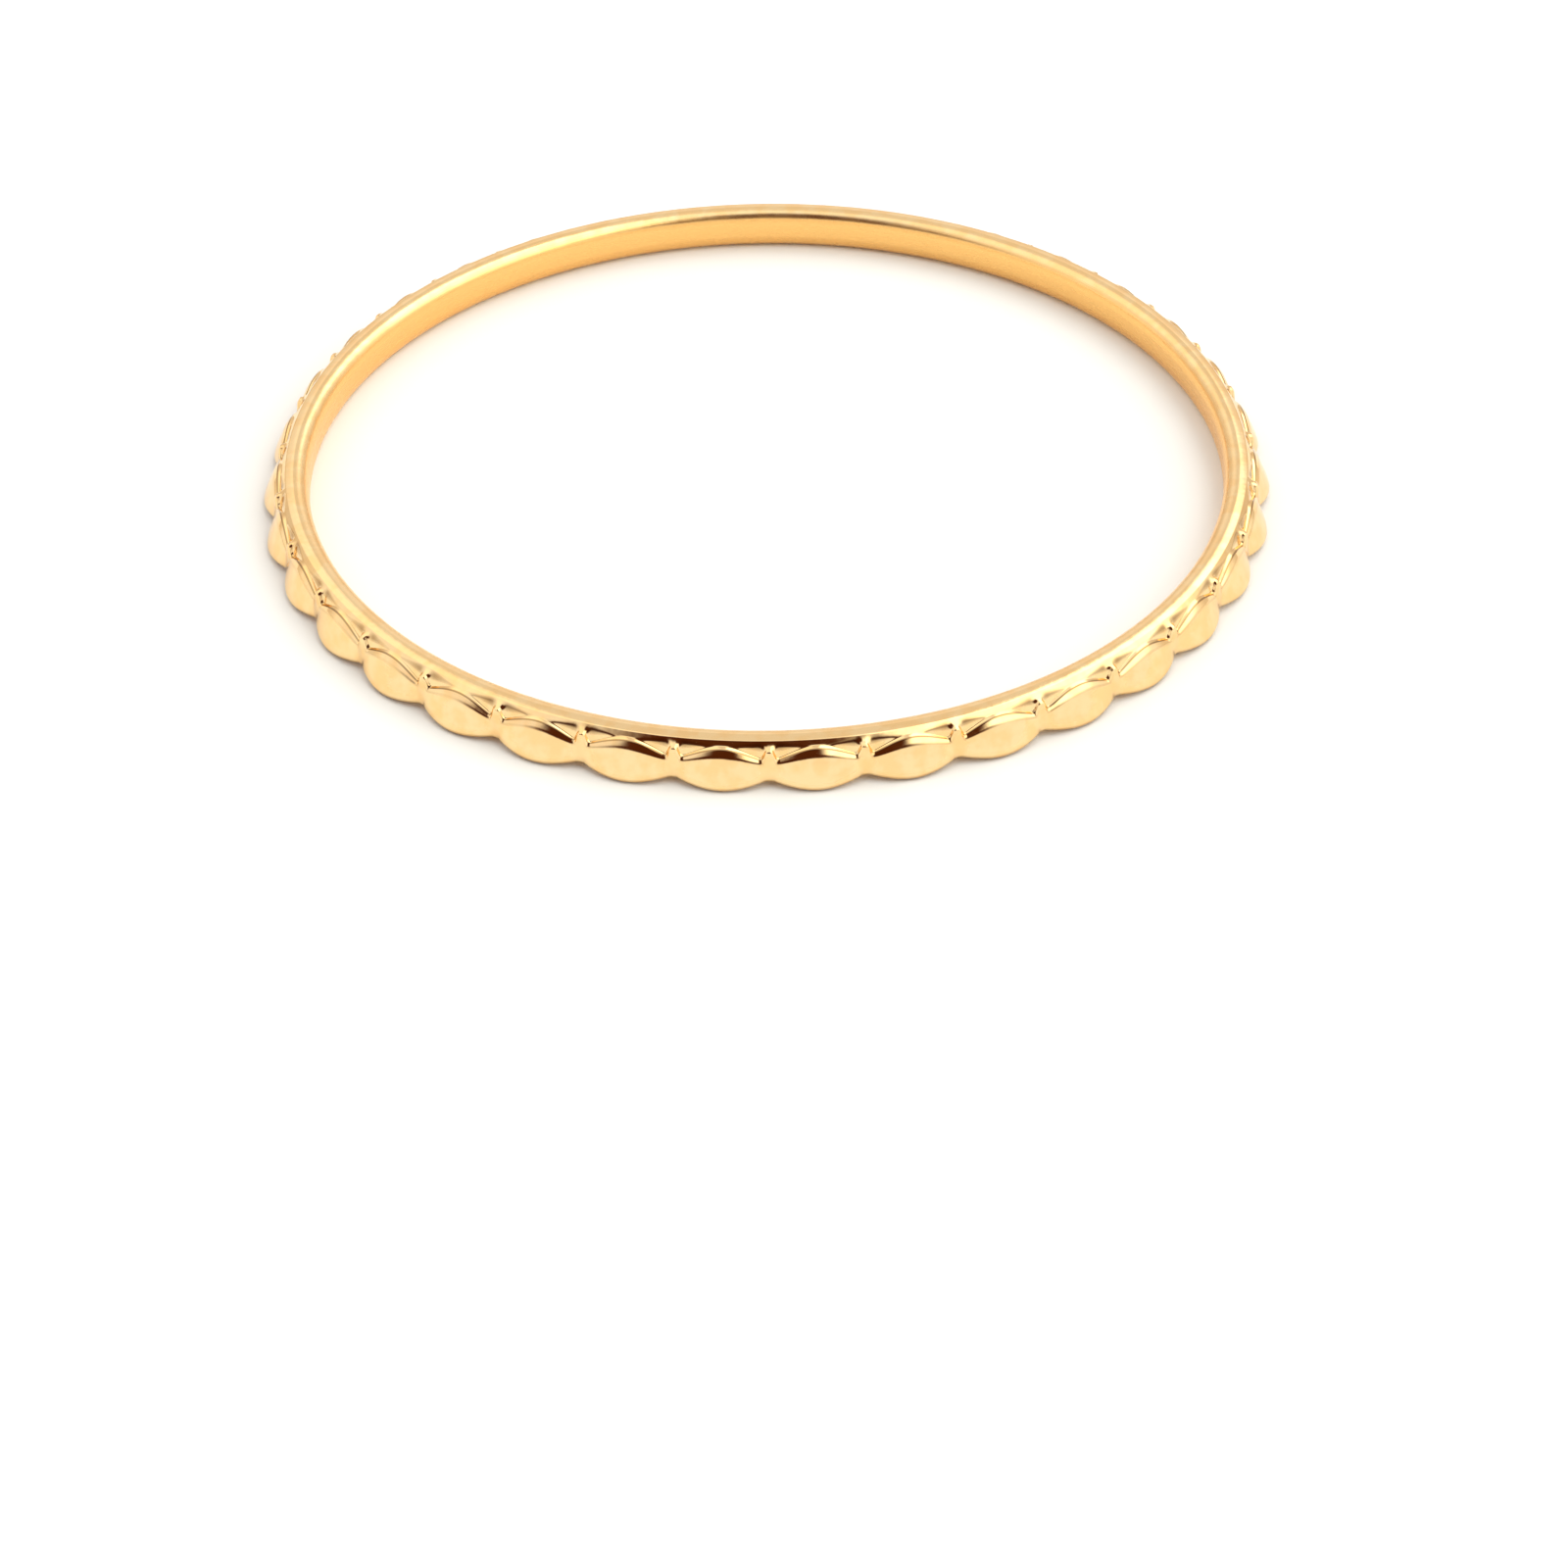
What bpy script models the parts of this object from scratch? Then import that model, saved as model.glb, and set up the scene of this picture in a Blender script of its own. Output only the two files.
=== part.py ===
"""A slim polished bangle: one plain band with a row of marquise beads in relief round it.

The bangle lies on its side, in metres, with +Z up. The origin is at the middle of the
circle that it rests on, and the front of the ring is towards -Y.
"""
import math

import bmesh
import bpy

MM = 0.001

# Sizes of the plain band. The rim's width goes from the inner wall to the foot of the beads.
BORE_DIAMETER = 60.3 * MM
BAND_HEIGHT = 2.85 * MM
RIM_WIDTH = 1.43 * MM
INNER_CROWN = 0.05 * MM
INNER_ROUND = 0.9 * MM

# Sizes of a bead at its middle. A relief is how far a form stands out from the rim, and a
# drop is how far its middle lies below the middle of the band.
BEAD_COUNT = 35
BEAD_RELIEF = 1.65 * MM
BEAD_HEIGHT = 2.58 * MM
BEAD_DROP = 0.085 * MM

# Sizes of a bead at its tips
TIP_RELIEF = 0.9 * MM
TIP_HEIGHT = 1.35 * MM
TIP_DROP = 0.4 * MM

# Sizes of the narrow upright webs between the tips
WEB_WIDTH = 0.3 * MM
WEB_RELIEF = 1.0 * MM
WEB_HEIGHT = 2.36 * MM
WEB_DROP = -0.085 * MM

# Fineness of the mesh, and how quickly a bead's outline and face go down to its tips
STEPS_PER_BEAD = 10
OUTLINE_POWER = 1.3
FACE_POWER = 0.8

# The outer side from the upper rim down to the lower one, at a bead's middle, at its tip
# and on a web: each out is a share of that place's relief, each down of its height.
OUTER_SIDE = (
    # out, down, tip_out, tip_down, web_out, web_down
    (0.13, -0.02, 0.52, -0.44, 0.21, 0.00),
    (0.30, 0.00, 0.66, 0.00, 0.65, 0.08),
    (0.50, 0.14, 0.86, 0.18, 0.79, 0.25),
    (0.78, 0.53, 0.92, 0.48, 0.84, 0.57),
    (0.95, 0.81, 0.97, 0.70, 0.92, 0.82),
    (1.00, 0.92, 0.99, 0.89, 0.94, 0.93),
    (0.92, 1.00, 0.86, 1.00, 0.82, 1.00),
    (0.15, 1.00, 0.30, 1.15, 0.27, 1.08),
)

GOLD_COLOUR = (0.90, 0.62, 0.26, 1.0)
GOLD_ROUGHNESS = 0.16

BAND_MIDDLE = BAND_HEIGHT / 2
RIM_RADIUS = BORE_DIAMETER / 2 + INNER_CROWN + RIM_WIDTH


def clear_scene():
    for old in list(bpy.data.objects):
        bpy.data.objects.remove(old, do_unlink=True)


def gold_material():
    gold = bpy.data.materials.new("polished_gold")
    gold.use_nodes = True
    shader = gold.node_tree.nodes["Principled BSDF"]
    shader.inputs["Base Color"].default_value = GOLD_COLOUR
    shader.inputs["Metallic"].default_value = 1.0
    shader.inputs["Roughness"].default_value = GOLD_ROUGHNESS
    return gold


def mix(start, end, share):
    return start + (end - start) * share


def inner_side():
    """The plain inner side as (radius, height), from the lower rim up to the upper rim."""
    bore = BORE_DIAMETER / 2
    wall = bore + INNER_CROWN
    return [
        (wall + INNER_ROUND, 0.0),
        (wall + INNER_ROUND / 4, INNER_ROUND / 4),
        (wall, INNER_ROUND),
        (bore, BAND_MIDDLE),
        (wall, BAND_HEIGHT - INNER_ROUND),
        (wall + INNER_ROUND / 4, BAND_HEIGHT - INNER_ROUND / 4),
        (wall + INNER_ROUND, BAND_HEIGHT),
    ]


def outer_side(swell, fullness, web):
    """The beaded outer side as (radius, height), from the upper rim down to the lower rim.

    swell and fullness go from 0 at a bead's tip to 1 at its middle, for its outline and for
    its face, and web is 1 on the web between two beads and 0 off it.
    """
    points = [(RIM_RADIUS, BAND_HEIGHT)]
    for out, down, tip_out, tip_down, web_out, web_down in OUTER_SIDE:
        bead_height = BAND_MIDDLE - BEAD_DROP + (0.5 - down) * BEAD_HEIGHT
        tip_height = BAND_MIDDLE - TIP_DROP + (0.5 - tip_down) * TIP_HEIGHT
        web_height = BAND_MIDDLE - WEB_DROP + (0.5 - web_down) * WEB_HEIGHT
        relief = mix(tip_out * TIP_RELIEF, out * BEAD_RELIEF, fullness)
        height = mix(tip_height, bead_height, swell)
        relief = mix(relief, web_out * WEB_RELIEF, web)
        points.append((RIM_RADIUS + relief, mix(height, web_height, web)))
    points.append((RIM_RADIUS, 0.0))
    return points


def bead_stations():
    """Places along one bead, as its angle from the middle and its swell, fullness and web."""
    pitch = 2 * math.pi / BEAD_COUNT
    half_web = WEB_WIDTH / 2 / (RIM_RADIUS + WEB_RELIEF)
    half_bead = pitch / 2 - half_web
    stations = []
    spaces = STEPS_PER_BEAD - 2
    for step in range(spaces + 1):
        place = 2 * step / spaces - 1
        level = max(0.0, math.cos(math.pi / 2 * place))
        stations.append((place * half_bead, level ** OUTLINE_POWER, level ** FACE_POWER, 0.0))
    stations.append((pitch / 2, 0.0, 0.0, 1.0))
    return stations


def bangle_sections():
    """Every section round the ring as a list of points, starting at the front."""
    pitch = 2 * math.pi / BEAD_COUNT
    stations = bead_stations()
    sections = []
    for bead in range(BEAD_COUNT):
        middle = -math.pi / 2 + (bead + 0.5) * pitch
        for offset, swell, fullness, web in stations:
            angle = middle + offset
            outline = inner_side() + outer_side(swell, fullness, web)
            cosine = math.cos(angle)
            sine = math.sin(angle)
            sections.append([(r * cosine, r * sine, h) for r, h in outline])
    return sections


def loft_ring(name, sections):
    """A closed ring of faces through the sections, each joined to the next."""
    shape = bmesh.new()
    rings = [[shape.verts.new(point) for point in section] for section in sections]
    for index, ring in enumerate(rings):
        following = rings[(index + 1) % len(rings)]
        count = len(ring)
        for corner in range(count):
            beside = (corner + 1) % count
            shape.faces.new((ring[corner], ring[beside], following[beside], following[corner]))
    bmesh.ops.triangulate(shape, faces=shape.faces[:])
    bmesh.ops.recalc_face_normals(shape, faces=shape.faces[:])
    mesh = bpy.data.meshes.new(name)
    shape.to_mesh(mesh)
    shape.free()
    mesh.shade_smooth()
    mesh.set_sharp_from_angle(angle=math.radians(30))
    return bpy.data.objects.new(name, mesh)


def build():
    clear_scene()
    collection = bpy.data.collections.new("bangle")
    bpy.context.scene.collection.children.link(collection)
    bangle = loft_ring("bangle", bangle_sections())
    bangle.data.materials.append(gold_material())
    collection.objects.link(bangle)


build()
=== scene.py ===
"""The looks of the bangle: its finely modelled metal, the floor, the light and the camera."""

import math

import bmesh
import bpy
from mathutils import Matrix, Vector


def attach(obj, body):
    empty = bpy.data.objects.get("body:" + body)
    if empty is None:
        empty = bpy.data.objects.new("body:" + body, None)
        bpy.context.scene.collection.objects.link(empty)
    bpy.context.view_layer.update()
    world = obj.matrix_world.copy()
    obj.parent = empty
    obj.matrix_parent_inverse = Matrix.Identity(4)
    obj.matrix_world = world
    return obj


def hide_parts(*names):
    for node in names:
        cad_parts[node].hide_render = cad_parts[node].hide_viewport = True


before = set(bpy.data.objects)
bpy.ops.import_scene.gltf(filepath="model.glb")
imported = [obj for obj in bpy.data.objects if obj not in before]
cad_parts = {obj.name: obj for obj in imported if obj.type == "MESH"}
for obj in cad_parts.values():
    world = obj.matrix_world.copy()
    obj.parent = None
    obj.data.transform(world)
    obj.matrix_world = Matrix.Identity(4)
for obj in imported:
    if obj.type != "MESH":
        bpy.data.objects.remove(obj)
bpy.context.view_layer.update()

MM = 0.001

# The photograph's frame, in pixels
PHOTO_SIZE = 1600
FOCAL_PIXELS = 4081.0

# The camera, from the fit of the rim's circle: the rim's centre seen from the camera
VIEW_ELEVATION = math.radians(38.44)
VIEW_ROLL = math.radians(0.48)
VIEW_TURN = math.radians(-0.5)
RIM_CENTRE_RIGHT = -1.17 * MM
RIM_CENTRE_UP = 22.29 * MM
RIM_CENTRE_AWAY = 264.0 * MM

# Sizes of the plain band, as in the solid that this piece stands for
BORE_DIAMETER = 60.3 * MM
BAND_HEIGHT = 2.85 * MM
RIM_WIDTH = 1.43 * MM
INNER_CROWN = 0.05 * MM
INNER_ROUND = 0.9 * MM
RIM_CROWN_WIDTH = 0.34 * MM
RIM_CROWN_DROP = 0.055 * MM
RIM_ROUND = 0.05 * MM

# Sizes of the beads: at the middle, and at the tips
BEAD_COUNT = 35
BEAD_RELIEF = 1.65 * MM
BEAD_HEIGHT = 2.58 * MM
BEAD_DROP = 0.085 * MM
TIP_RELIEF = 0.9 * MM
TIP_HEIGHT = 1.35 * MM
TIP_DROP = 0.4 * MM

# Sizes of the webs between the tips
WEB_WIDTH = 0.3 * MM
WEB_RELIEF = 1.0 * MM
WEB_HEIGHT = 2.36 * MM
WEB_DROP = -0.085 * MM

# How quickly a bead's outline and its face go down to the tips
OUTLINE_POWER = 1.3
FACE_POWER = 0.8

# Fineness of the piece: the steps along a bead, which are closest together at its tips, and
# the steps in a rounding, which are fewer where its radius is under FINE_CORNER millimetres
STEPS_PER_BEAD = 36
STEP_CROWDING = 1.35
FINE_STEPS = 3
WIDE_STEPS = 5
FINE_CORNER = 0.1

# How much of an edge the roundings at its two ends may take together
ROUNDED_SHARE = 0.94

BAND_MIDDLE = BAND_HEIGHT / 2
INNER_WALL = BORE_DIAMETER / 2 + INNER_CROWN
RIM_RADIUS = INNER_WALL + RIM_WIDTH

# The outer side from the upper rim down to the lower one, as shares of the sizes above:
# out of a relief and down a height, at a bead's middle, at its tip and on a web.
# flare is how far the web spreads sideways there, and round_by and tip_round are the
# corner's radius at the middle and at the tip, all three in millimetres. The last two
# columns are the shares of the brown painted shade in the creases and along the lower edge.
OUTER_SIDE = (
    # out, down, tip_out, tip_down, web_out, web_down, flare, round_by, tip_round, painted_shade,
    # tip_painted_shade
    (0.16, 0.035, 0.29, -0.62, 0.26, 0.064, 0.50, 0.05, 0.38, 0.10, 0.90),
    (0.20, 0.037, 0.58, 0.00, 0.45, 0.09, 0.42, 0.04, 0.04, 0.10, 0.50),
    (0.34, 0.06, 0.68, 0.02, 0.65, 0.12, 0.36, 0.09, 0.07, 0.90, 0.90),
    (0.52, 0.20, 0.81, 0.14, 0.79, 0.25, 0.28, 0.13, 0.10, 0.15, 0.30),
    (0.76, 0.53, 0.90, 0.48, 0.84, 0.57, 0.18, 0.35, 0.35, 0.00, 0.00),
    (0.95, 0.81, 0.97, 0.70, 0.92, 0.82, 0.10, 0.35, 0.35, 0.00, 0.00),
    (1.00, 0.92, 0.99, 0.89, 0.94, 0.93, 0.10, 0.20, 0.20, 0.25, 0.25),
    (0.92, 1.00, 0.86, 1.00, 0.82, 1.00, 0.10, 0.12, 0.12, 0.80, 0.80),
    (0.15, 1.00, 0.30, 1.15, 0.27, 1.08, 0.10, 0.05, 0.05, 0.80, 0.80),
)


def mix(start, end, share):
    return start + (end - start) * share


def eased(share):
    """The share kept between 0 and 1, with a soft start and end."""
    share = min(1.0, max(0.0, share))
    return share * share * (3 - 2 * share)


def rounded(corners):
    """The closed outline through the corners, each one rounded, as (radius, height, painted shade).

    A corner is (radius, height, steps, round_by, painted shade).
    """
    places = [Vector(corner[:2]) for corner in corners]
    rounds = [corner[3] for corner in corners]
    following = places[1:] + places[:1]
    after = rounds[1:] + rounds[:1]
    # Where an edge is too short for its two roundings, both shrink by its share here
    shares = []
    for here, there, own, other in zip(places, following, rounds, after):
        shares.append(min(1.0, ROUNDED_SHARE * (there - here).length / (own + other)))
    points = []
    for index, (radius, height, steps, round_by, painted_shade) in enumerate(corners):
        here = Vector((radius, height))
        back = (places[index - 1] - here).normalized()
        ahead = (following[index] - here).normalized()
        start = here + back * round_by * shares[index - 1]
        end = here + ahead * round_by * shares[index]
        for step in range(steps + 1):
            share = step / steps
            point = start.lerp(here, share).lerp(here.lerp(end, share), share)
            # The painted shade is full in the middle of the rounding and fades out at its ends
            fade = 4 * share * (1 - share)
            points.append((point.x, point.y, painted_shade * fade))
    return points


def inner_corners():
    """The plain inner side, from the lower rim up to the upper one."""
    return [
        (INNER_WALL, 0.0, WIDE_STEPS, INNER_ROUND, 0.0),
        (BORE_DIAMETER / 2, BAND_MIDDLE, WIDE_STEPS, INNER_ROUND / 2, 0.0),
        (INNER_WALL, BAND_HEIGHT, WIDE_STEPS, INNER_ROUND, 0.0),
    ]


def outer_corners(swell, fullness, from_web):
    """The beaded outer side, from the upper rim down to the lower one.

    swell and fullness go from 0 at a bead's tip to 1 at its middle, for its outline and for
    its face, and from_web is the distance from the middle of the nearest web.
    """
    corners = [
        (RIM_RADIUS - RIM_CROWN_WIDTH, BAND_HEIGHT, FINE_STEPS, RIM_CROWN_WIDTH / 2, 0.0),
        (RIM_RADIUS, BAND_HEIGHT - RIM_CROWN_DROP, FINE_STEPS, RIM_ROUND, 0.0),
    ]
    for row in OUTER_SIDE:
        out, down, tip_out, tip_down, web_out, web_down, *finish = row
        flare, round_by, tip_round, painted_shade, tip_painted_shade = finish
        steps = FINE_STEPS if max(round_by, tip_round) < FINE_CORNER else WIDE_STEPS
        bead_height = BAND_MIDDLE - BEAD_DROP + (0.5 - down) * BEAD_HEIGHT
        tip_height = BAND_MIDDLE - TIP_DROP + (0.5 - tip_down) * TIP_HEIGHT
        web_height = BAND_MIDDLE - WEB_DROP + (0.5 - web_down) * WEB_HEIGHT
        relief = mix(tip_out * TIP_RELIEF, out * BEAD_RELIEF, fullness)
        height = mix(tip_height, bead_height, swell)
        web = eased(1 - (from_web - WEB_WIDTH / 2) / (flare * MM))
        relief = mix(relief, web_out * WEB_RELIEF, web)
        height = mix(height, web_height, web)
        rounding = mix(tip_round, round_by, swell) * MM
        # The share of brown painted shade at this corner, darkening creases and the lower edge
        painted_shade = mix(tip_painted_shade, painted_shade, swell)
        # On the upper half of its height a web has no painted shade
        if down < 0.5:
            painted_shade = painted_shade * (1 - web)
        corners.append((RIM_RADIUS + relief, height, steps, rounding, painted_shade))
    corners.append((RIM_RADIUS, 0.0, FINE_STEPS, RIM_ROUND, 0.0))
    return corners


def bead_stations():
    """Places along one bead, from web to web, as (shift, swell, fullness, from_web).

    shift is the place as a share of the pitch, from the bead's middle.
    """
    half_pitch = math.pi / BEAD_COUNT * (RIM_RADIUS + TIP_RELIEF)
    half_steps = STEPS_PER_BEAD // 2
    stations = []
    for step in range(-half_steps, half_steps):
        share = (1 - abs(step) / half_steps) ** STEP_CROWDING
        from_web = share * half_pitch
        place = (half_pitch - from_web) / (half_pitch - WEB_WIDTH / 2)
        level = max(0.0, math.cos(math.pi / 2 * min(1.0, place)))
        shift = math.copysign(0.5 * (1 - share), step)
        stations.append((shift, level ** OUTLINE_POWER, level ** FACE_POWER, from_web))
    return stations


def bangle_sections():
    """Every section round the ring, as points ((x, y, z), painted shade), starting at the front."""
    pitch = 2 * math.pi / BEAD_COUNT
    stations = bead_stations()
    for bead in range(BEAD_COUNT):
        for shift, swell, fullness, from_web in stations:
            angle = -math.pi / 2 + (bead + 0.5 + shift) * pitch
            outline = rounded(inner_corners() + outer_corners(swell, fullness, from_web))
            cosine = math.cos(angle)
            sine = math.sin(angle)
            yield [((r * cosine, r * sine, h), painted_shade) for r, h, painted_shade in outline]


def loft_ring(name, sections):
    """A closed ring of faces through the sections, with each point's share of painted shade kept on
    it.
    """
    shape = bmesh.new()
    painted_shade_layer = shape.verts.layers.float.new("painted_shade")
    rings = []
    for section in sections:
        ring = []
        for place, painted_shade in section:
            point = shape.verts.new(place)
            point[painted_shade_layer] = painted_shade
            ring.append(point)
        rings.append(ring)
    for index, ring in enumerate(rings):
        following = rings[(index + 1) % len(rings)]
        count = len(ring)
        for corner in range(count):
            beside = (corner + 1) % count
            shape.faces.new((ring[corner], ring[beside], following[beside], following[corner]))
    bmesh.ops.recalc_face_normals(shape, faces=shape.faces[:])
    # Each point's shading follows its larger faces, so that flat bands between roundings stay flat
    normals = []
    for point in shape.verts:
        pull = Vector()
        for face in point.link_faces:
            pull += face.normal * face.calc_area()
        normals.append(pull.normalized())
    mesh = bpy.data.meshes.new(name)
    shape.to_mesh(mesh)
    shape.free()
    mesh.shade_smooth()
    mesh.normals_split_custom_set_from_vertices(normals)
    piece = bpy.data.objects.new(name, mesh)
    bpy.context.scene.collection.objects.link(piece)
    return piece


class Net:
    """Adds nodes to a node tree, each one linked to what feeds it."""

    def __init__(self, tree):
        self.tree = tree

    def add(self, kind, feeds=(), **settings):
        node = self.tree.nodes.new(kind)
        for name, value in settings.items():
            setattr(node, name, value)
        for socket, value in feeds:
            if isinstance(value, bpy.types.NodeSocket):
                self.tree.links.new(value, node.inputs[socket])
            else:
                node.inputs[socket].default_value = value
        return node

    def sums(self, operation, *values):
        """The result of a sum with the values, in their order."""
        return self.add("ShaderNodeMath", enumerate(values), operation=operation).outputs[0]

    def along(self, vector, direction):
        """How far the vector reaches along the direction."""
        feeds = [(0, vector), (1, direction)]
        node = self.add("ShaderNodeVectorMath", feeds, operation="DOT_PRODUCT")
        return node.outputs["Value"]

    def span(self, value, low, high, out_low=0.0, out_high=1.0):
        """Goes softly from out_low to out_high while the value goes from low to high."""
        feeds = [(0, value), (1, low), (2, high), (3, out_low), (4, out_high)]
        node = self.add("ShaderNodeMapRange", feeds, interpolation_type="SMOOTHSTEP")
        return node.outputs[0]

    def blend(self, share, first, second):
        """The first colour where the share is 0 and the second where it is 1."""
        feeds = [(0, share), (6, first), (7, second)]
        return self.add("ShaderNodeMix", feeds, data_type="RGBA").outputs[2]


GOLD_COLOUR = (0.95, 0.68, 0.35, 1.0)
DEEP_GOLD_COLOUR = (0.94, 0.62, 0.28, 1.0)
# Deeper orange painted shade on the inner wall, standing for its shaded reflection
INSIDE_SHADE_COLOUR = (0.95, 0.56, 0.19, 1.0)
# Brown painted shade, darkening the creases round the beads, the tips by the webs and the lower edge
PAINTED_SHADE_COLOUR = (0.20, 0.09, 0.02, 1.0)
PAINTED_SHADE_STRENGTH = 0.9

# How far out from the inner wall its deeper orange painted shade ends, and its satin finish fades away
INSIDE_SHADE_END = 0.3 * MM
SATIN_START = 0.2 * MM
SATIN_END = 1.0 * MM
SATIN_ROUGHNESS = 0.19

# The fine lines: their noise round the ring and per metre across it, the range of the noise
# that shows, the roughness at its ends, and their share of the relief
LINES_AROUND = 12.0
LINES_ACROSS = 4500.0
LINE_RANGE = (0.3, 0.7)
LINE_ROUGHNESS = (0.06, 0.12)
LINE_RELIEF = 0.35

# The shallow waves of the polish: their noise per metre, and its range between the two golds
WAVES_PER_METRE = 900.0
WAVE_RANGE = (0.35, 0.65)
RELIEF_DEPTH = 0.012 * MM


def gold_material():
    """Polished gold with fine lines along the ring, and painted shade: a deeper orange on the inner
    side, and brown in the creases and along the lower edge.
    """
    gold = bpy.data.materials.new("polished_gold")
    gold.use_nodes = True
    net = Net(gold.node_tree)
    shader = gold.node_tree.nodes["Principled BSDF"]
    place = net.add("ShaderNodeTexCoord").outputs["Object"]
    flat_place = net.add(
        "ShaderNodeVectorMath", [(0, place), (1, (1.0, 1.0, 0.0))], operation="MULTIPLY")
    radius = net.add(
        "ShaderNodeVectorMath", [(0, flat_place.outputs[0])], operation="LENGTH").outputs["Value"]
    outward = net.add(
        "ShaderNodeVectorMath", [(0, flat_place.outputs[0])], operation="NORMALIZE").outputs[0]
    height = net.along(place, (0.0, 0.0, 1.0))
    across = net.sums("ADD", radius, height)
    parts = net.add("ShaderNodeSeparateXYZ", [(0, outward)])
    line_place = net.add("ShaderNodeCombineXYZ", [
        (0, net.sums("MULTIPLY", parts.outputs[0], LINES_AROUND)),
        (1, net.sums("MULTIPLY", parts.outputs[1], LINES_AROUND)),
        (2, net.sums("MULTIPLY", across, LINES_ACROSS))]).outputs[0]
    lines = net.add("ShaderNodeTexNoise", [
        ("Vector", line_place), ("Scale", 1.0), ("Detail", 3.0), ("Roughness", 0.6)])
    waves = net.add("ShaderNodeTexNoise", [
        ("Vector", place), ("Scale", WAVES_PER_METRE), ("Detail", 2.0), ("Roughness", 0.5)])
    line_relief = net.sums("MULTIPLY", lines.outputs[0], LINE_RELIEF)
    relief = net.sums("ADD", line_relief, waves.outputs[0])
    bump = net.add("ShaderNodeBump", [
        ("Strength", 1.0), ("Distance", RELIEF_DEPTH), ("Height", relief)])
    tone = net.span(waves.outputs[0], *WAVE_RANGE)
    outside = net.blend(tone, GOLD_COLOUR, DEEP_GOLD_COLOUR)
    # The inner wall gets the deeper orange painted shade
    outer_share = net.span(radius, INNER_WALL, INNER_WALL + INSIDE_SHADE_END)
    gold_with_inside_shade = net.blend(outer_share, INSIDE_SHADE_COLOUR, outside)
    # Brown painted shade mixed into the gold by each point's share of painted shade
    painted_shade = net.add("ShaderNodeAttribute", attribute_name="painted_shade").outputs["Fac"]
    colour = net.blend(net.sums("MULTIPLY", painted_shade, PAINTED_SHADE_STRENGTH), gold_with_inside_shade, PAINTED_SHADE_COLOUR)
    gold.node_tree.links.new(colour, shader.inputs["Base Color"])
    polish = net.span(lines.outputs[0], *LINE_RANGE, *LINE_ROUGHNESS)
    satin = net.span(
        radius, INNER_WALL + SATIN_START, INNER_WALL + SATIN_END, SATIN_ROUGHNESS, 0.0)
    roughness = net.sums("ADD", polish, satin)
    gold.node_tree.links.new(roughness, shader.inputs["Roughness"])
    gold.node_tree.links.new(bump.outputs[0], shader.inputs["Normal"])
    shader.inputs["Metallic"].default_value = 1.0
    return gold


FLOOR_SIZE = 4.0
FLOOR_GAP = 0.02 * MM
FLOOR_COLOUR = (0.95, 0.95, 0.95, 1.0)
FLOOR_ROUGHNESS = 0.8


def floor_material():
    """The plain pale surface that the bangle lies on."""
    pale = bpy.data.materials.new("pale_floor")
    pale.use_nodes = True
    shader = pale.node_tree.nodes["Principled BSDF"]
    shader.inputs["Base Color"].default_value = FLOOR_COLOUR
    shader.inputs["Roughness"].default_value = FLOOR_ROUGHNESS
    return pale


def add_floor():
    """Lays the floor just under the bangle."""
    bpy.ops.mesh.primitive_plane_add(size=FLOOR_SIZE, location=(0, 0, -FLOOR_GAP))
    floor = bpy.context.object
    floor.name = "floor"
    floor.data.materials.append(floor_material())


SENSOR_WIDTH = 36.0
NEAREST_SEEN = 0.01
FARTHEST_SEEN = 20.0


def add_camera():
    """Aims the camera so that the rim's circle falls where the photograph has it."""
    data = bpy.data.cameras.new("camera")
    data.sensor_width = SENSOR_WIDTH
    data.lens = FOCAL_PIXELS / PHOTO_SIZE * SENSOR_WIDTH
    data.clip_start = NEAREST_SEEN
    data.clip_end = FARTHEST_SEEN
    camera = bpy.data.objects.new("camera", data)
    bpy.context.scene.collection.objects.link(camera)
    toward = Vector((0, math.cos(VIEW_ELEVATION), -math.sin(VIEW_ELEVATION)))
    side = Vector((1, 0, 0))
    up = side.cross(toward)
    turn = Matrix.Rotation(VIEW_TURN, 3, "Z") @ Matrix.Rotation(VIEW_ROLL, 3, "Y")
    side = turn @ side
    toward = turn @ toward
    up = turn @ up
    rim_centre = Vector((0, 0, BAND_HEIGHT))
    place = rim_centre - RIM_CENTRE_RIGHT * side - RIM_CENTRE_UP * up - RIM_CENTRE_AWAY * toward
    camera.matrix_world = Matrix.Translation(place) @ Matrix((side, up, -toward)).transposed().to_4x4()
    bpy.context.scene.camera = camera


def patch(net, direction, turn, lift, wide, tall, soft):
    """1 inside a soft patch of the surroundings and 0 outside it.

    turn is its azimuth from +X towards +Y, lift its elevation, and wide and tall its half
    sizes, all in degrees. soft is half the width of its faded border, as a share of them.
    """
    turn = math.radians(turn)
    lift = math.radians(lift)
    side = Vector((-math.sin(turn), math.cos(turn), 0))
    level = math.cos(lift)
    middle = Vector((math.cos(turn) * level, math.sin(turn) * level, math.sin(lift)))
    up = middle.cross(side)
    sideways = net.along(direction, side / math.sin(math.radians(wide)))
    upwards = net.along(direction, up / math.sin(math.radians(tall)))
    offset = net.add("ShaderNodeCombineXYZ", [(0, sideways), (1, upwards)]).outputs[0]
    distance = net.add("ShaderNodeVectorMath", [(0, offset)], operation="LENGTH").outputs["Value"]
    ahead = net.sums("GREATER_THAN", net.along(direction, middle), 0.0)
    return net.sums("MULTIPLY", net.span(distance, 1 - soft, 1 + soft, 1.0, 0.0), ahead)


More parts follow.
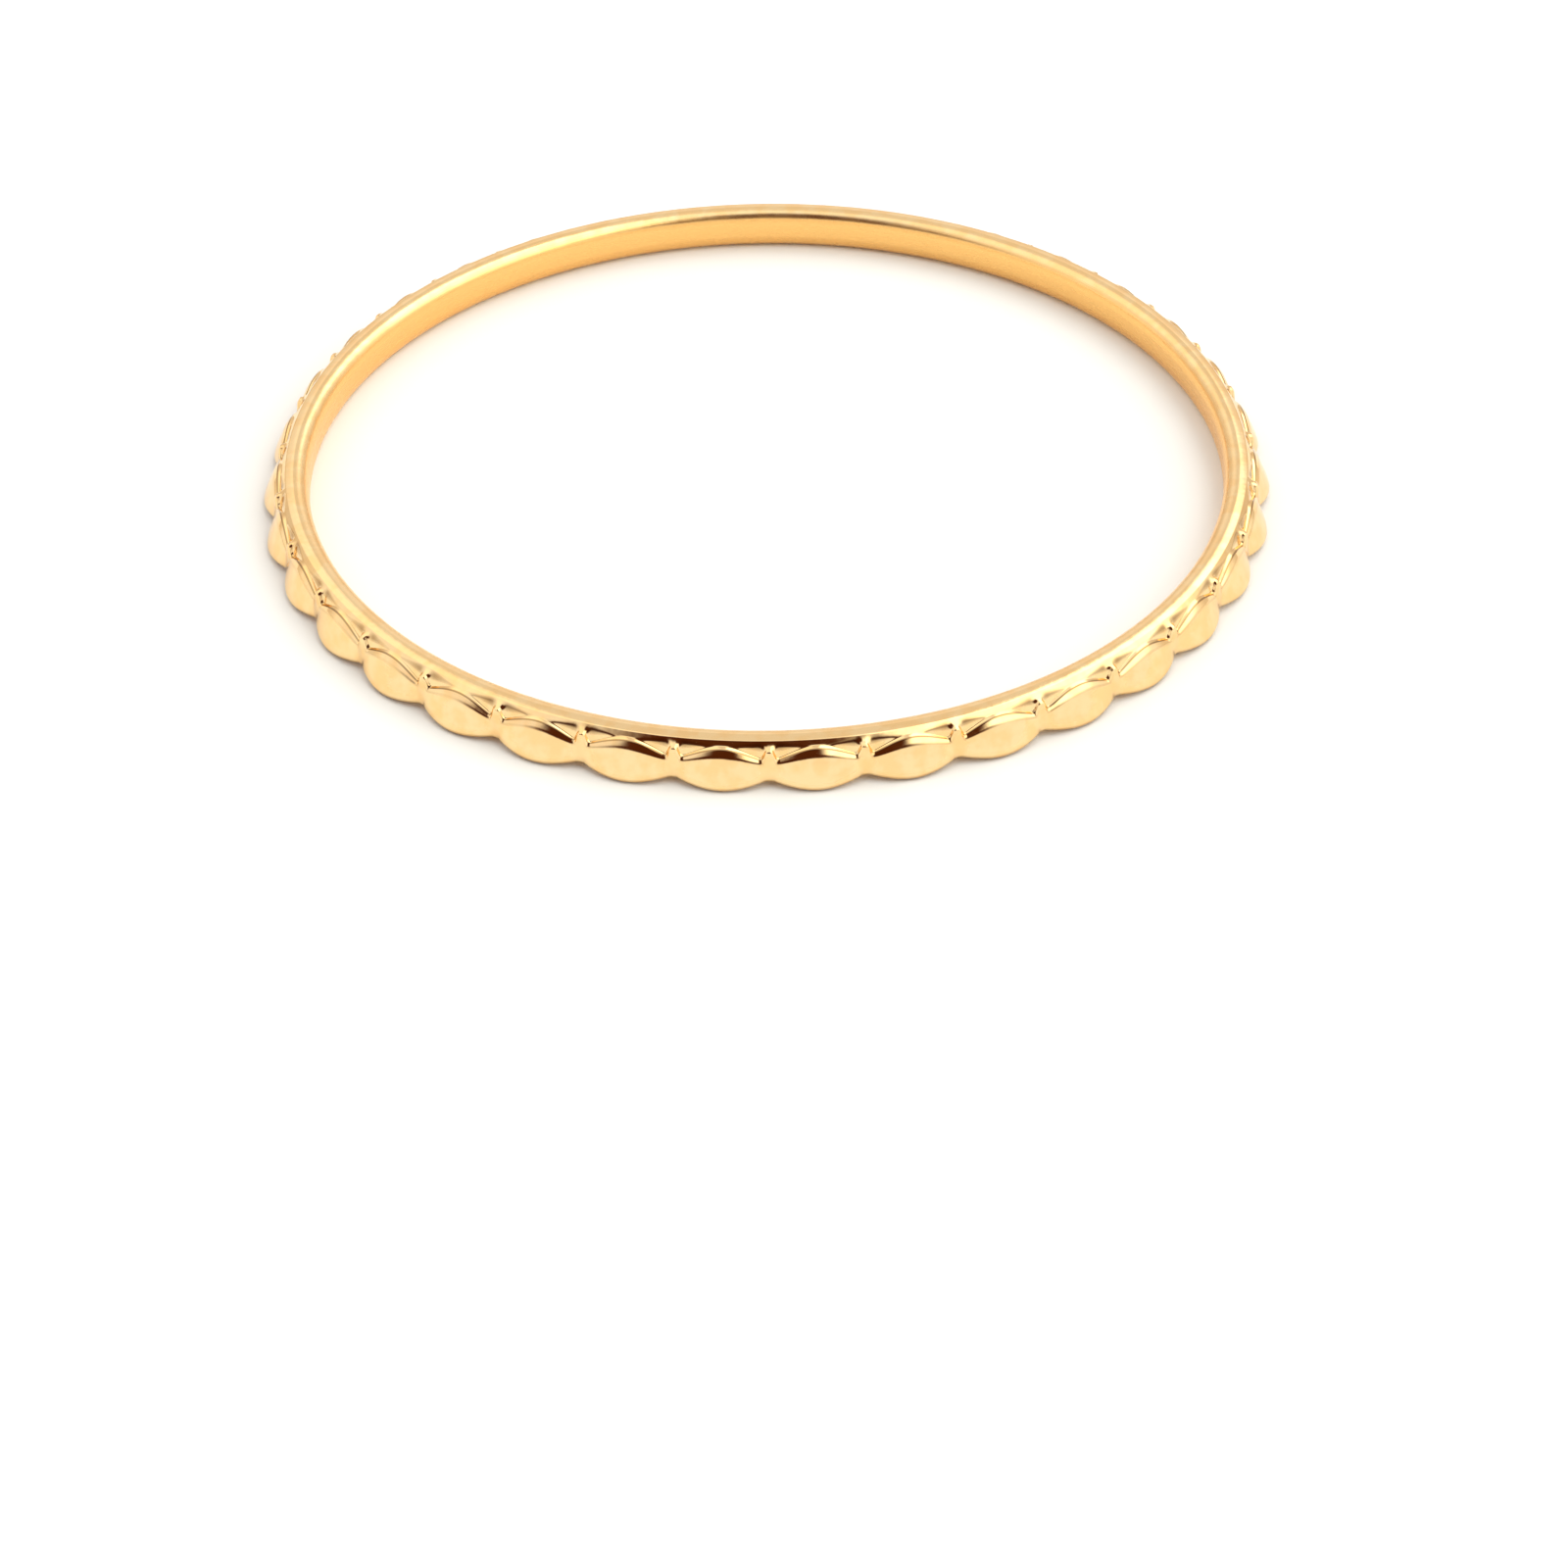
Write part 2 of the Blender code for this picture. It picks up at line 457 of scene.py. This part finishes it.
SKY_BANDS = (
    # height of the direction, red, green, blue
    (-1.00, 1.10, 1.12, 1.14),
    (0.00, 1.15, 1.15, 1.14),
    (0.22, 1.15, 1.14, 1.12),
    (0.45, 1.05, 1.02, 1.02),
    (0.75, 1.05, 1.04, 1.06),
    (1.00, 1.15, 1.16, 1.18),
)
PATCHES = (
    # turn, lift, wide, tall, soft, red, green, blue
    (145, 55, 38, 20, 0.2, 1.30, 1.28, 1.15),
    (36, 55, 42, 19, 0.2, 2.60, 2.60, 2.50),
    (90, 50, 10, 24, 0.2, 0.87, 0.84, 0.82),
    (57, 6, 32, 22, 0.4, 0.80, 0.72, 0.63),
    (123, 6, 32, 22, 0.4, 0.80, 0.72, 0.63),
    (-18, 46, 36, 28, 0.3, 2.20, 2.20, 2.00),
    (-100, 30, 44, 13, 0.35, 0.085, 0.022, 0.006),
    (-97, 48, 24, 24, 0.35, 0.085, 0.022, 0.006),
)
BAND_STRENGTH = 2.0


def add_world():
    """Surrounds the bangle with pale bands, brighter lamps and a few darker patches."""
    world = bpy.data.worlds.new("studio")
    world.use_nodes = True
    net = Net(world.node_tree)
    backdrop = world.node_tree.nodes["Background"]
    direction = net.add("ShaderNodeTexCoord").outputs["Generated"]
    # A height of -1 to 1 becomes a level of 0 to 1
    level = net.sums("MULTIPLY_ADD", net.along(direction, (0.0, 0.0, 1.0)), 0.5, 0.5)
    bands = net.add("ShaderNodeValToRGB", [(0, level)])
    ramp = bands.color_ramp
    ready_stops = len(ramp.elements)
    for index, (height, red, green, blue) in enumerate(SKY_BANDS):
        spot = (height + 1) / 2
        stop = ramp.elements[index] if index < ready_stops else ramp.elements.new(spot)
        stop.position = spot
        stop.color = (red / BAND_STRENGTH, green / BAND_STRENGTH, blue / BAND_STRENGTH, 1.0)
    sky = net.add("ShaderNodeVectorMath", [(0, bands.outputs[0])], operation="SCALE")
    sky.inputs["Scale"].default_value = BAND_STRENGTH
    colour = sky.outputs[0]
    for turn, lift, wide, tall, soft, red, green, blue in PATCHES:
        share = patch(net, direction, turn, lift, wide, tall, soft)
        colour = net.blend(share, colour, (red, green, blue, 1.0))
    world.node_tree.links.new(colour, backdrop.inputs["Color"])
    bpy.context.scene.world = world


bpy.context.scene.view_settings.view_transform = "Standard"

bangle = loft_ring("beaded_bangle", bangle_sections())
bangle.data.materials.append(gold_material())
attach(bangle, "root")
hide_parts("bangle")

add_floor()
add_camera()
add_world()
